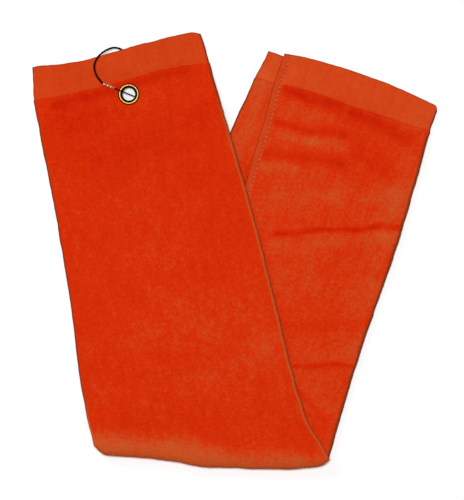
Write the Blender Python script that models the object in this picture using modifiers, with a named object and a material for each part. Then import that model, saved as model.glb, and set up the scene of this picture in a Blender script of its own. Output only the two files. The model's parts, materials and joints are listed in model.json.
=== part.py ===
"""Tri-fold golf towel, folded once across its length, with a grommet and a wire hook ring.

The cloth is folded in thirds lengthwise (a face panel, a left flap and a right flap) and then
once across, which gives a rear leg that lies on the table and a front leg that lies on top of
it. The pieces are laid out in leg coordinates: p runs across a leg from its left fold to its
right fold, and q runs along it from the crease to its end.
"""

import math

import bmesh
import bpy
from mathutils import Matrix, Vector

MM = 0.001

# Cloth
CLOTH_WIDTH = 406 * MM
FRONT_LENGTH = 328.5 * MM
REAR_LENGTH = 316.5 * MM
FRONT_END_WIDTH = 137 * MM
REAR_END_WIDTH = 143.5 * MM
CREASE_WIDTH = 187 * MM
FRONT_RIGHT_FLAP = 134 * MM
REAR_RIGHT_FLAP = 130 * MM
BORDER_DEPTH = 25.4 * MM
HEM_WIDTH = 6.4 * MM
THREAD_RADIUS = 0.25 * MM

# Thicknesses and the clearance between pieces that touch
VELOUR = 2.0 * MM
WOVEN = 1.1 * MM
PINCHED = 0.4 * MM
GAP = 0.3 * MM
PILE_GAP = 0.8 * MM
WOVEN_GAP = 0.45 * MM
LEG_GAP = 0.5 * MM
BORDER_BLEND = 12 * MM

# How the towel lies
LEG_ANGLE = math.radians(33.5)
CREASE_TILT = math.radians(-3.2)
DRAPE_OUT = 46 * MM
DRAPE_IN = 14 * MM
DRAPE_START = 0.12

# Sideways bow of each fold edge, as (q, offset in mm) along the leg
FRONT_LEFT_BOW = [
    (0, -3.6), (0.12, -5.9), (0.22, -5.8), (0.36, -3.9), (0.6, -3.5), (0.8, -4.8), (0.93, -5.0), (1, -2.0),
]
FRONT_RIGHT_BOW = [
    (0, -2.7), (0.04, -6.4), (0.08, -10.8), (0.14, -11.8), (0.22, -10.9), (0.32, -8.7), (0.5, -5.2),
    (0.62, -3.8), (0.77, -3.0), (1, -1.8),
]
REAR_LEFT_BOW = [(0, -0.5), (0.4, -1.5), (0.79, -0.8), (1, 2.0)]
REAR_RIGHT_BOW = [
    (0, -2.9), (0.11, -3.3), (0.25, -3.0), (0.39, -1.6), (0.52, 0.4), (0.65, 1.7), (0.79, 1.5),
    (0.92, 0.3), (1, 1.6),
]
# How far the ends fall short of their full length, as (p, amount in mm) across the leg
FRONT_END_DIP = [
    (0, -2.2), (0.04, -3.4), (0.18, -1.0), (0.38, 0.3), (0.55, -0.7), (0.76, -1.9), (0.94, -1.7), (1, 1.0),
]
REAR_END_DIP = [(0, 1.8), (0.12, -1.0), (0.3, -5.4), (0.5, -6.6), (0.68, -6.5), (0.87, -5.2), (1, -2.6)]
# How far the crease bulges beyond the line that the legs start from, as (p, amount in mm)
CREASE_DEPTH = [(0, 7.6), (0.2, 7.8), (0.33, 9.4), (0.45, 12.2), (0.66, 11.8), (0.8, 10.8), (0.93, 8.0), (1, 6.0)]

# Grommet: its place along the front leg, and its sizes
GROMMET_FROM_END = 35 * MM
GROMMET_FROM_MIDDLE = -0.5 * MM
HOLE_RADIUS = 5.0 * MM
BARREL_WALL = 0.5 * MM
FLANGE_RADIUS = 8.6 * MM
FLANGE = 0.5 * MM
FLANGE_EDGE = 0.3 * MM
PINCH_FLAT = 2.5 * MM
PINCH_BLEND = 12 * MM

# Hook ring: a wire hoop in a tilted plane through the grommet hole
WIRE_RADIUS = 0.6 * MM
RING_TILT = math.radians(36)
RING_LEAN = math.radians(16.9)
RING_FLOOR_GAP = 0.2 * MM
GATE_ANGLE = math.radians(57.5)
GATE_BEYOND = 8 * MM
CATCH_START = 14 * MM
CATCH_LENGTH = 11.4 * MM
CATCH_RADIUS = 0.95 * MM
CATCH_NECK = 0.7 * MM
CATCH_BEADS = 3
# The hoop from the catch round to the gate's far end, as (along the axis, across) in mm
HOOP = [
    (20.5, 24.6), (28.0, 24.3), (33.5, 20.0), (37.0, 13.5), (38.9, 6.0), (38.7, -0.5),
    (35.6, -6.4), (30.0, -10.8), (21.5, -13.4), (12.0, -13.9), (3.0, -13.2), (-3.6, -11.9),
    (-6.6, -9.9),
]

# The front leg's end is propped up by the part of the ring that lies under it
PROP_ALONG = 60 * MM
PROP_ACROSS = 35 * MM
PROP_MIDDLE = 19 * MM

# Cells of the meshes
SIDE_CELLS = 4
MIDDLE_CELLS = 12
LEG_ROWS = 12
END_ROWS = 9
END_ROWS_START = 0.76
SHARED_LINES = (0.31, 0.69)
SHARED_LINES_START = 0.5
FOLD_CELLS = 5
WRAP_CELLS = 7
WRAP_ROWS = 10
BORDER_FLAP_CELLS = 16
BORDER_FACE_CELLS = 17
BORDER_ROWS = 3
TURN_STEPS = 32
HOOP_STEPS = 3
WELD = 0.01 * MM

VELOUR_COLOUR = (0.69, 0.040, 0.006)
WOVEN_COLOUR = (0.62, 0.060, 0.010)
THREAD_COLOUR = (0.75, 0.14, 0.04)
BRASS_COLOUR = (0.60, 0.45, 0.20)
WIRE_COLOUR = (0.42, 0.30, 0.13)

# Worked out from the sizes above
VELOUR_PITCH = VELOUR + PILE_GAP
WOVEN_PITCH = WOVEN + WOVEN_GAP
PINCHED_PITCH = PINCHED + GAP
FRONT_BASE = 3 * VELOUR_PITCH + LEG_GAP
AXIS_HEIGHT = (3 * VELOUR_PITCH - PILE_GAP + FRONT_BASE) / 2
ALONG = Vector((-math.sin(CREASE_TILT), math.cos(CREASE_TILT)))
CREASE_DIRECTION = Vector((math.cos(CREASE_TILT), math.sin(CREASE_TILT)))
UP = Vector((0, 0, 1))
PANEL_CELLS = 2 * SIDE_CELLS + MIDDLE_CELLS


def turned(vector, angle):
    """A flat vector turned anticlockwise."""
    cos, sin = math.cos(angle), math.sin(angle)
    return Vector((cos * vector.x - sin * vector.y, sin * vector.x + cos * vector.y))


def smooth(x):
    """0 below 0, 1 above 1, and a soft step between."""
    x = min(max(x, 0.0), 1.0)
    return x * x * (3 - 2 * x)


def mix(a, b, share):
    return a + (b - a) * share


def slope(points, index):
    before, after = points[max(index - 1, 0)], points[min(index + 1, len(points) - 1)]
    return (after[1] - before[1]) / (after[0] - before[0])


def along_curve(points, x):
    """The value at x of a smooth curve through (x, mm) points, in metres."""
    index = sum(x > at for at, _ in points[1:-1])
    (x0, y0), (x1, y1) = points[index : index + 2]
    share = (x - x0) / (x1 - x0)
    leave = slope(points, index) * share * (1 - share) ** 2
    arrive = slope(points, index + 1) * share**2 * (1 - share)
    return (mix(y0, y1, smooth(share)) + (x1 - x0) * (leave - arrive)) * MM


class Leg:
    """One leg of the folded towel: where a point (p, q) of it lies, and how high its layers are."""

    def __init__(self, name, lean, length, end_width, right_flap, bows, end_dip, layers):
        self.name = name
        self.length = length
        self.end_width = end_width
        self.right_flap = right_flap
        self.bows = bows
        self.end_dip = end_dip
        self.across = turned(CREASE_DIRECTION, lean)
        self.axis = turned(ALONG, lean)
        self.layers = {layer: index for index, layer in enumerate(layers)}
        self.border_start = 1 - BORDER_DEPTH / length

    def place(self, p, q):
        """Flat position of a point of the leg, from the middle of the crease."""
        start = CREASE_DIRECTION * (p - 0.5) * CREASE_WIDTH
        reach = self.length - along_curve(self.end_dip, p)
        end = self.axis * reach + self.across * (p - 0.5) * self.end_width
        left, right = (along_curve(bow, q) for bow in self.bows)
        sideways = mix(CREASE_DIRECTION, self.across, q)
        return mix(start, end, q) + sideways * mix(left, right, p)

    def width(self, q):
        return (self.place(1, q) - self.place(0, q)).dot(self.across)

    def left_flap(self, q):
        """Width of the left flap: what the other two panels leave of the cloth."""
        return CLOTH_WIDTH - self.width(q) - self.right_flap

    def base(self, p, q):
        """Height of the underside of the lowest layer."""
        if self.name == "rear":
            return 0.0
        spot = self.place(p, q)
        edge_start, edge_end = REAR.place(0, 0), REAR.place(0, 1)
        edge = (edge_end - edge_start).normalized()
        inside = edge.y * (spot - edge_start).x - edge.x * (spot - edge_start).y
        over = smooth((inside + DRAPE_OUT) / (DRAPE_OUT + DRAPE_IN))
        lying = FRONT_BASE * (1 - smooth(q / DRAPE_START) * (1 - over))
        return mix(GROMMET_BASE, lying + prop_height(spot), self.clear_of_grommet(p, q))

    def clear_of_grommet(self, p, q):
        """0 under the grommet's flange, rising to 1 where the cloth has its full thickness."""
        reach = (self.place(p, q) - GROMMET).length - FLANGE_RADIUS - PINCH_FLAT
        return smooth(reach / PINCH_BLEND)

    def build_up(self, p, q):
        """Height from one layer's underside to the next one's, and the gap within it."""
        above = smooth((self.border_start - q) * self.length / BORDER_BLEND)
        pitch = mix(WOVEN_PITCH, VELOUR_PITCH, above)
        gap = mix(WOVEN_GAP, PILE_GAP, above)
        if self.name == "front":
            clear = self.clear_of_grommet(p, q)
            pitch = mix(PINCHED_PITCH, pitch, clear)
            gap = mix(GAP, gap, clear)
        return pitch, gap

    def faces_of(self, layer, p, q):
        """Heights of the underside and the top of a layer."""
        pitch, gap = self.build_up(p, q)
        bottom = self.base(p, q) + self.layers[layer] * pitch
        return bottom, bottom + pitch - gap

    def fold(self, layers, p, q):
        """Middle height, outer radius and inner radius of the fold that joins two layers."""
        low, high = sorted(layers, key=self.layers.get)
        bottom, low_top = self.faces_of(low, p, q)
        high_bottom, top = self.faces_of(high, p, q)
        return (bottom + top) / 2, (top - bottom) / 2, (high_bottom - low_top) / 2


def grommet_place():
    reach = FRONT_LENGTH - GROMMET_FROM_END
    return FRONT.axis * reach + FRONT.across * GROMMET_FROM_MIDDLE


def prop_height(spot):
    """Rise of the cloth over the ring, an oval mound round the ring's axis."""
    offset = spot - (GROMMET + RING_AXIS * PROP_MIDDLE)
    along = offset.dot(RING_AXIS) / PROP_ALONG
    across = offset.dot(RING_SIDE) / PROP_ACROSS
    return PROP_RISE * math.exp(-along * along - across * across)


FRONT = Leg(
    "front", LEG_ANGLE / 2, FRONT_LENGTH, FRONT_END_WIDTH, FRONT_RIGHT_FLAP,
    (FRONT_LEFT_BOW, FRONT_RIGHT_BOW), FRONT_END_DIP, ("right_flap", "left_flap", "face_panel"),
)
REAR = Leg(
    "rear", -LEG_ANGLE / 2, REAR_LENGTH, REAR_END_WIDTH, REAR_RIGHT_FLAP,
    (REAR_LEFT_BOW, REAR_RIGHT_BOW), REAR_END_DIP, ("face_panel", "left_flap", "right_flap"),
)
GROMMET = grommet_place()
RING_AXIS = Vector((-math.sin(RING_LEAN), math.cos(RING_LEAN)))
RING_SIDE = Vector((-RING_AXIS.y, RING_AXIS.x))
RING_DEPTH = max(-across for _, across in HOOP) * MM * math.sin(RING_TILT)
GROMMET_HEIGHT = RING_DEPTH + WIRE_RADIUS + RING_FLOOR_GAP
GROMMET_BASE = GROMMET_HEIGHT - (3 * PINCHED_PITCH - GAP) / 2
PROP_RISE = GROMMET_BASE / math.exp(-((PROP_MIDDLE / PROP_ALONG) ** 2))


def collection(name):
    made = bpy.data.collections.new(name)
    bpy.context.scene.collection.children.link(made)
    return made


def material(name, colour, roughness, metallic=0.0):
    made = bpy.data.materials.new(name)
    made.use_nodes = True
    shader = made.node_tree.nodes["Principled BSDF"]
    shader.inputs["Base Color"].default_value = (*colour, 1)
    shader.inputs["Roughness"].default_value = roughness
    shader.inputs["Metallic"].default_value = metallic
    return made


def add_object(name, data, finish):
    obj = bpy.data.objects.new(name, data)
    data.materials.append(finish)
    PARTS.objects.link(obj)
    return obj


def slab(name, finish, cells, where):
    """A closed slab: a cube cut into cells, with each point moved to where(a, b, side)."""
    bm = bmesh.new()
    bmesh.ops.create_cube(bm, size=1)
    for direction, count in enumerate(cells):
        edges = [e for e in bm.edges if abs((e.verts[0].co - e.verts[1].co)[direction]) > 0.5]
        bmesh.ops.subdivide_edges(bm, edges=edges, cuts=count - 1, use_grid_fill=True)
    for vert in bm.verts:
        vert.co = where(vert.co.x + 0.5, vert.co.y + 0.5, vert.co.z > 0)
    if bm.calc_volume(signed=True) < 0:
        bmesh.ops.reverse_faces(bm, faces=bm.faces)
    mesh = bpy.data.meshes.new(name)
    bm.to_mesh(mesh)
    bm.free()
    return add_object(name, mesh, finish)


def row_count(leg):
    return LEG_ROWS + (END_ROWS if leg is FRONT else 0)


def rows(leg, b):
    """q along a velour panel, from 0 to 1. The front leg has close rows round the grommet."""
    inset = GAP / leg.length
    end = leg.border_start - inset
    if leg is REAR:
        return mix(inset, end, b)
    row = b * row_count(leg)
    if row <= LEG_ROWS:
        return mix(inset, END_ROWS_START, row / LEG_ROWS)
    return mix(END_ROWS_START, end, (row - LEG_ROWS) / END_ROWS)


def lines(leg, start, end, a, q):
    """p of a lengthwise line of a panel between p = start and end.

    Round the grommet all three layers of the front leg share the same lines, so that the
    facets of one lie flat on the next.
    """
    even = mix(start, end, a)
    if leg is REAR:
        return even
    line = a * PANEL_CELLS
    low, high = SHARED_LINES
    if line <= SIDE_CELLS:
        shared = mix(start, low, line / SIDE_CELLS)
    elif line <= SIDE_CELLS + MIDDLE_CELLS:
        shared = mix(low, high, (line - SIDE_CELLS) / MIDDLE_CELLS)
    else:
        shared = mix(high, end, (line - SIDE_CELLS - MIDDLE_CELLS) / SIDE_CELLS)
    share = smooth((q - SHARED_LINES_START) / (END_ROWS_START - SHARED_LINES_START))
    return mix(even, shared, share)


def velour_strip(leg, layer, name, start, end, across_cells):
    """A flat strip of one layer between two distances from the leg's left edge."""

    def where(a, b, top):
        q = rows(leg, b)
        low, high = sorted((start(q) / leg.width(q), end(q) / leg.width(q)))
        p = lines(leg, low, high, a, q) if across_cells > 1 else mix(low, high, a)
        bottom_z, top_z = leg.faces_of(layer, p, q)
        spot = leg.place(p, q)
        return Vector((spot.x, spot.y, top_z if top else bottom_z))

    return slab(f"{leg.name}_{name}", VELOUR_FINISH, (across_cells, row_count(leg)), where)


def seam_thread(leg, layer, name, distance):
    """The hem's row of stitching, lying in the seam between the hem and its panel."""
    curve = bpy.data.curves.new(name, "CURVE")
    curve.dimensions = "3D"
    curve.bevel_depth = THREAD_RADIUS
    curve.bevel_resolution = 1
    curve.use_fill_caps = True
    spline = curve.splines.new("POLY")
    spline.points.add(row_count(leg))
    for index, point in enumerate(spline.points):
        q = rows(leg, index / row_count(leg))
        p = distance(q) / leg.width(q)
        spot = leg.place(p, q)
        point.co = (spot.x, spot.y, sum(leg.faces_of(layer, p, q)) / 2, 1)
    return add_object(f"{leg.name}_{name}", curve, THREAD_FINISH)


def flap(leg, layer, outer, edge):
    """A flap with the hem at its free edge and the stitching between them.

    outer and edge give the distance of the fold side and of the free edge from the left fold.
    """
    side = 1 if edge(0.5) > outer(0.5) else -1
    seam = 2 * (THREAD_RADIUS + GAP)

    def panel_edge(q):
        return edge(q) - side * (HEM_WIDTH + seam)

    def hem_start(q):
        return edge(q) - side * HEM_WIDTH

    def thread_line(q):
        return edge(q) - side * (HEM_WIDTH + seam / 2)

    velour_strip(leg, layer, layer, outer, panel_edge, PANEL_CELLS)
    velour_strip(leg, layer, f"{layer}_hem", hem_start, edge, 1)
    seam_thread(leg, layer, f"{layer}_stitching", thread_line)


def side_fold(leg, name, layers, side):
    """The half-round fold along one side of a leg, joining two layers."""
    p = 0 if side < 0 else 1

    def where(a, b, outer):
        q = rows(leg, b)
        middle, outer_radius, inner_radius = leg.fold(layers, p, q)
        radius = outer_radius if outer else inner_radius
        angle = (a - 0.5) * math.pi
        out = side * (radius * math.cos(angle) - outer_radius)
        spot = leg.place(p + out / leg.width(q), q)
        return Vector((spot.x, spot.y, middle + radius * math.sin(angle)))

    return slab(f"{leg.name}_{name}", VELOUR_FINISH, (FOLD_CELLS, row_count(leg)), where)


def velour_panels(leg):
    """The three panels of a leg with their hems, and its two side folds."""
    left_layers = ("face_panel", "left_flap")
    right_layers = ("face_panel", "right_flap")

    def left_inset(q):
        return leg.fold(left_layers, 0, q)[1] + GAP

    def right_inset(q):
        return leg.width(q) - leg.fold(right_layers, 1, q)[1] - GAP

    def right_flap_edge(q):
        return leg.width(q) - leg.right_flap

    velour_strip(leg, "face_panel", "face_panel", left_inset, right_inset, PANEL_CELLS)
    flap(leg, "left_flap", left_inset, leg.left_flap)
    flap(leg, "right_flap", right_inset, right_flap_edge)
    side_fold(leg, "left_fold", left_layers, -1)
    side_fold(leg, "right_fold", right_layers, 1)


def woven_border(leg):
    """The flat woven band at the end of a leg: one ribbon folded round in three layers."""
    cells = 2 * BORDER_FLAP_CELLS + 2 * FOLD_CELLS + BORDER_FACE_CELLS
    direction = 1 if leg.layers["face_panel"] == 0 else -1

    def flat(layer, distance, q, outside, over):
        p = distance / leg.width(q)
        bottom, top = leg.faces_of(layer, p, q)
        spot = leg.place(p, q)
        face_is_low = (direction > 0) == (outside != over)
        return Vector((spot.x, spot.y, bottom if face_is_low else top))

    def turn(layers, side, share, q, outside):
        p = 0 if side < 0 else 1
        middle, outer_radius, inner_radius = leg.fold(layers, p, q)
        radius = outer_radius if outside else inner_radius
        angle = math.pi * (0.5 - share) * direction
        out = side * (radius * math.cos(angle) - outer_radius)
        spot = leg.place(p + out / leg.width(q), q)
        return Vector((spot.x, spot.y, middle + radius * math.sin(angle)))

    def where(a, b, outside):
        q = mix(leg.border_start, 1, b)
        width = leg.width(q)
        left_layers = ("face_panel", "left_flap")
        right_layers = ("face_panel", "right_flap")
        left_inset = leg.fold(left_layers, 0, q)[1]
        right_inset = width - leg.fold(right_layers, 1, q)[1]
        step = round(a * cells)
        if step <= BORDER_FLAP_CELLS:
            distance = mix(leg.left_flap(q), left_inset, step / BORDER_FLAP_CELLS)
            return flat("left_flap", distance, q, outside, True)
        step -= BORDER_FLAP_CELLS
        if step <= FOLD_CELLS:
            return turn(left_layers, -1, step / FOLD_CELLS, q, outside)
        step -= FOLD_CELLS
        if step <= BORDER_FACE_CELLS:
            distance = mix(left_inset, right_inset, step / BORDER_FACE_CELLS)
            return flat("face_panel", distance, q, outside, False)
        step -= BORDER_FACE_CELLS
        if step <= FOLD_CELLS:
            return turn(right_layers, 1, 1 - step / FOLD_CELLS, q, outside)
        step -= FOLD_CELLS
        distance = mix(right_inset, width - leg.right_flap, step / BORDER_FLAP_CELLS)
        return flat("right_flap", distance, q, outside, True)

    return slab(f"{leg.name}_woven_border", WOVEN_FINISH, (cells, BORDER_ROWS), where)


def crease_wrap(name, layer, start, end):
    """One layer of cloth turning over at the crease, from the rear leg up to the front leg."""
    low, low_top = REAR.faces_of(layer, 0.5, 0)

    def where(a, b, outer):
        p = mix(start, end, b)
        radius = AXIS_HEIGHT - (low if outer else low_top)
        angle = (a - 0.5) * math.pi
        back = along_curve(CREASE_DEPTH, p) * radius / AXIS_HEIGHT * math.cos(angle)
        rear, front = REAR.place(p, 0), FRONT.place(p, 0)
        spot = mix(rear, front, a) - ALONG * back
        return Vector((spot.x, spot.y, AXIS_HEIGHT + radius * math.sin(angle)))

    return slab(name, VELOUR_FINISH, (WRAP_CELLS, WRAP_ROWS), where)


def turned_piece(name, profile, finish):
    """A solid of revolution: a closed (radius, height) profile and a Screw modifier."""
    bm = bmesh.new()
    verts = [bm.verts.new((radius, 0, height)) for radius, height in profile]
    for index, vert in enumerate(verts):
        bm.edges.new((vert, verts[(index + 1) % len(verts)]))
    mesh = bpy.data.meshes.new(name)
    bm.to_mesh(mesh)
    bm.free()
    obj = add_object(name, mesh, finish)
    screw = obj.modifiers.new("Turned", "SCREW")
    screw.steps = screw.render_steps = TURN_STEPS
    screw.use_merge_vertices = True
    screw.merge_threshold = WELD
    return obj


def grommet_pieces():
    """The eyelet, whose barrel passes through all three layers, and the washer under them."""
    half_cloth = (3 * PINCHED_PITCH - GAP) / 2
    barrel = HOLE_RADIUS + BARREL_WALL
    bore = barrel + GAP
    seat = half_cloth + GAP
    rim = seat + FLANGE
    middle = seat + FLANGE_EDGE / 2
    eyelet = turned_piece(
        "grommet_eyelet",
        [
            (HOLE_RADIUS + FLANGE_EDGE, rim), (FLANGE_RADIUS - FLANGE_EDGE, rim), (FLANGE_RADIUS, middle),
            (FLANGE_RADIUS - FLANGE_EDGE / 2, seat), (barrel, seat), (barrel, -rim),
            (HOLE_RADIUS, -rim), (HOLE_RADIUS, rim - FLANGE_EDGE),
        ],
        BRASS_FINISH,
    )
    washer = turned_piece(
        "grommet_washer",
        [
            (bore, -seat), (FLANGE_RADIUS - FLANGE_EDGE / 2, -seat), (FLANGE_RADIUS, -middle),
            (FLANGE_RADIUS - FLANGE_EDGE, -rim), (bore, -rim),
        ],
        BRASS_FINISH,
    )
    for piece in (eyelet, washer):
        piece.location = (GROMMET.x, GROMMET.y, GROMMET_HEIGHT)
    return bore


def cut_grommet_hole(radius):
    """Bores the three layers of the front leg where the eyelet passes through them."""
    bpy.ops.mesh.primitive_cylinder_add(
        vertices=TURN_STEPS, radius=radius, depth=4 * GROMMET_HEIGHT,
        location=(GROMMET.x, GROMMET.y, GROMMET_HEIGHT),
    )
    cutter = bpy.context.object
    cutter.name = "grommet_cutter"
    for owner in list(cutter.users_collection):
        owner.objects.unlink(cutter)
    CUTTERS.objects.link(cutter)
    cutter.hide_render = True
    cutter.display_type = "WIRE"
    for layer in FRONT.layers:
        bored = bpy.data.objects[f"front_{layer}"]
        boolean = bored.modifiers.new("Grommet hole", "BOOLEAN")
        boolean.operation = "DIFFERENCE"
        boolean.object = cutter


def smooth_path(points, steps):
    """Points along a Catmull-Rom curve through the given ones."""
    path = []
    ends = [2 * points[0] - points[1], *points, 2 * points[-1] - points[-2]]
    for before, start, end, after in zip(ends, ends[1:], ends[2:], ends[3:]):
        for step in range(steps):
            t = step / steps
            bend = (2 * before - 5 * start + 4 * end - after) * t + (3 * start - 3 * end + after - before) * t * t
            path.append((2 * start + (end - before) * t + bend * t) / 2)
    return [*path, points[-1]]


def ring_pieces():
    """The hook ring: a bent wire whose straight gate closes into a small catch.

    Both pieces hang on an empty at the grommet's centre, turned so that its X axis is the
    ring's hinge axis and its XY plane is the ring's own plane.
    """
    across = (RING_SIDE.to_3d() * math.cos(RING_TILT) + UP * math.sin(RING_TILT)).normalized()
    axis = RING_AXIS.to_3d()
    pivot = bpy.data.objects.new("ring_pivot", None)
    PARTS.objects.link(pivot)
    turn = Matrix((axis, across, axis.cross(across))).transposed().to_4x4()
    pivot.matrix_world = Matrix.Translation((GROMMET.x, GROMMET.y, GROMMET_HEIGHT)) @ turn

    gate = Vector((math.cos(GATE_ANGLE), math.sin(GATE_ANGLE)))
    catch_end = CATCH_START + CATCH_LENGTH
    hoop = [gate * (catch_end + GAP)]
    hoop += [Vector((along, side)) * MM for along, side in HOOP]
    hoop += [gate * -GATE_BEYOND]
    path = smooth_path(hoop, HOOP_STEPS)
    path += [gate * 0.0, gate * (CATCH_START - GAP)]

    curve = bpy.data.curves.new("ring_wire", "CURVE")
    curve.dimensions = "3D"
    curve.bevel_depth = WIRE_RADIUS
    curve.bevel_resolution = 2
    curve.use_fill_caps = True
    spline = curve.splines.new("POLY")
    spline.points.add(len(path) - 1)
    for point, place in zip(spline.points, path):
        point.co = (place.x, place.y, 0, 1)
    wire = add_object("ring_wire", curve, WIRE_FINISH)
    wire.parent = pivot

    bead_length = CATCH_LENGTH / CATCH_BEADS
    profile = [(0, 0)]
    for bead in range(CATCH_BEADS):
        for share, radius in ((0.0, CATCH_NECK), (0.25, CATCH_RADIUS), (0.75, CATCH_RADIUS)):
            profile.append((radius, (bead + share) * bead_length))
    profile += [(CATCH_NECK, CATCH_LENGTH), (0, CATCH_LENGTH)]
    catch = turned_piece("ring_catch", profile[::-1], WIRE_FINISH)
    catch.modifiers["Turned"].steps = catch.modifiers["Turned"].render_steps = TURN_STEPS // 2
    catch.parent = pivot
    catch.location = (gate * CATCH_START).to_3d()
    catch.rotation_euler = (0, math.pi / 2, GATE_ANGLE)


def footprint_middle():
    bpy.context.view_layer.update()
    graph = bpy.context.evaluated_depsgraph_get()
    low, high = Vector((math.inf, math.inf)), Vector((-math.inf, -math.inf))
    for obj in PARTS.objects:
        if obj.type == "EMPTY":
            continue
        evaluated = obj.evaluated_get(graph)
        for vert in evaluated.to_mesh().vertices:
            spot = evaluated.matrix_world @ vert.co
            low = Vector(map(min, low, spot.xy))
            high = Vector(map(max, high, spot.xy))
        evaluated.to_mesh_clear()
    return (low + high) / 2


def attach(obj, parent):
    """Parents an object without moving it."""
    bpy.context.view_layer.update()
    obj.parent = parent
    obj.matrix_parent_inverse = parent.matrix_world.inverted()


def put_together():
    """Hangs the front leg on a pivot at the crease, and centres the whole towel on the origin."""
    middle = footprint_middle()
    pieces = [obj for obj in [*PARTS.objects, *CUTTERS.objects] if obj.parent is None]
    towel = bpy.data.objects.new("golf_towel", None)
    crease = bpy.data.objects.new("crease_pivot", None)
    crease.location = (0, 0, AXIS_HEIGHT)
    crease.rotation_euler = (0, 0, CREASE_TILT)
    for pivot in (towel, crease):
        PARTS.objects.link(pivot)
    attach(crease, towel)
    for obj in pieces:
        swings = obj.name.startswith(("front_", "grommet_", "ring_"))
        attach(obj, crease if swings else towel)
    towel.location = (-middle).to_3d()


for old in list(bpy.data.objects):
    bpy.data.objects.remove(old)
PARTS = collection("Golf towel")
CUTTERS = collection("Cutters")
VELOUR_FINISH = material("cotton_velour", VELOUR_COLOUR, 0.95)
WOVEN_FINISH = material("woven_border", WOVEN_COLOUR, 0.85)
THREAD_FINISH = material("hem_thread", THREAD_COLOUR, 0.7)
BRASS_FINISH = material("brass", BRASS_COLOUR, 0.3, 1.0)
WIRE_FINISH = material("brass_wire", WIRE_COLOUR, 0.35, 1.0)

for one_leg in (REAR, FRONT):
    velour_panels(one_leg)
    woven_border(one_leg)
crease_wrap("crease_outer_wrap", "face_panel", 0.0, 1.0)
crease_wrap("crease_middle_wrap", "left_flap", 0.0, REAR.left_flap(0) / REAR.width(0))
crease_wrap("crease_inner_wrap", "right_flap", 1 - REAR.right_flap / REAR.width(0), 1.0)
cut_grommet_hole(grommet_pieces())
ring_pieces()
put_together()
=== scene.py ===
import json
import math

import bpy
import numpy as np
from mathutils import Matrix, Vector


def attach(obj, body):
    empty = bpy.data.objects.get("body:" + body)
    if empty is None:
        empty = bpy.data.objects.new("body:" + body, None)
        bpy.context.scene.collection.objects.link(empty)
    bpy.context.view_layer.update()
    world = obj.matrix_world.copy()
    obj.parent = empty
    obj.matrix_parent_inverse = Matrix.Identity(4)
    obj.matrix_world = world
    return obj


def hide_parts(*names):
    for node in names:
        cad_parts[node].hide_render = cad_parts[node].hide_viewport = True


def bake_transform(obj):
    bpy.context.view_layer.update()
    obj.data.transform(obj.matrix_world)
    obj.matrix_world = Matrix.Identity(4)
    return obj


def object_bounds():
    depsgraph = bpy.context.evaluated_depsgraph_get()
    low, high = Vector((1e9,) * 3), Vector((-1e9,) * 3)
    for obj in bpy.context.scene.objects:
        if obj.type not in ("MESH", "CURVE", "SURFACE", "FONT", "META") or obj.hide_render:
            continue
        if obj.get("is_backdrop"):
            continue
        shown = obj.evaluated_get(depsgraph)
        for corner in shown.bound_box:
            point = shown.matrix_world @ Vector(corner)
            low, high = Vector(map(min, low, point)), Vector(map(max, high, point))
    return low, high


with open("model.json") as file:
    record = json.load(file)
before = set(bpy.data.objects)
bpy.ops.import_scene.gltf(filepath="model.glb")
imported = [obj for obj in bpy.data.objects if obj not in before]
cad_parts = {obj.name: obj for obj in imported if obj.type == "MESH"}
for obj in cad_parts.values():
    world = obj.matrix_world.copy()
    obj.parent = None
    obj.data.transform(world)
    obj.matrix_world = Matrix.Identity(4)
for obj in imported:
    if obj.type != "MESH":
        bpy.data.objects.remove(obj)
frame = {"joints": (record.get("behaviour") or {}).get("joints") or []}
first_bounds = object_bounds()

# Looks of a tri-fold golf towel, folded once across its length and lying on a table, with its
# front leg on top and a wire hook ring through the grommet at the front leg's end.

MM = 0.001
SEED = 7

# Cloth, in metres where MM is used
CLOTH_WIDTH = 406 * MM
CREASE_WIDTH = 187 * MM
BORDER_DEPTH = 25.4 * MM
HEM_WIDTH = 6.4 * MM
VELOUR, WOVEN, PINCHED = 2.0 * MM, 1.1 * MM, 0.4 * MM
PILE_GAP, WOVEN_GAP, PINCHED_GAP, LEG_GAP = 0.8 * MM, 0.45 * MM, 0.3 * MM, 0.5 * MM
BORDER_BLEND = 12 * MM
SHOULDER = 0.45 * MM

LEG_ANGLE = math.radians(33.5)
CREASE_TILT = math.radians(-3.2)
DRAPE_OUT, DRAPE_IN, DRAPE_START = 46 * MM, 14 * MM, 0.12

# Edges of the legs, as (q along the leg, sideways offset in mm)
FRONT_BOWS = (
    [(0, -3.6), (0.12, -5.9), (0.22, -5.8), (0.36, -3.9), (0.6, -3.5), (0.8, -4.8), (0.93, -5.0), (1, -2.0)],
    [(0, -2.7), (0.04, -6.4), (0.08, -10.8), (0.14, -11.8), (0.22, -10.9), (0.32, -8.7), (0.5, -5.2),
     (0.62, -3.8), (0.77, -3.0), (1, -1.8)],
)
REAR_BOWS = (
    [(0, -0.5), (0.4, -1.5), (0.79, -0.8), (1, 2.0)],
    [(0, -2.9), (0.11, -3.3), (0.25, -3.0), (0.39, -1.6), (0.52, 0.4), (0.65, 1.7), (0.79, 1.5),
     (0.92, 0.3), (1, 1.6)],
)
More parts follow.
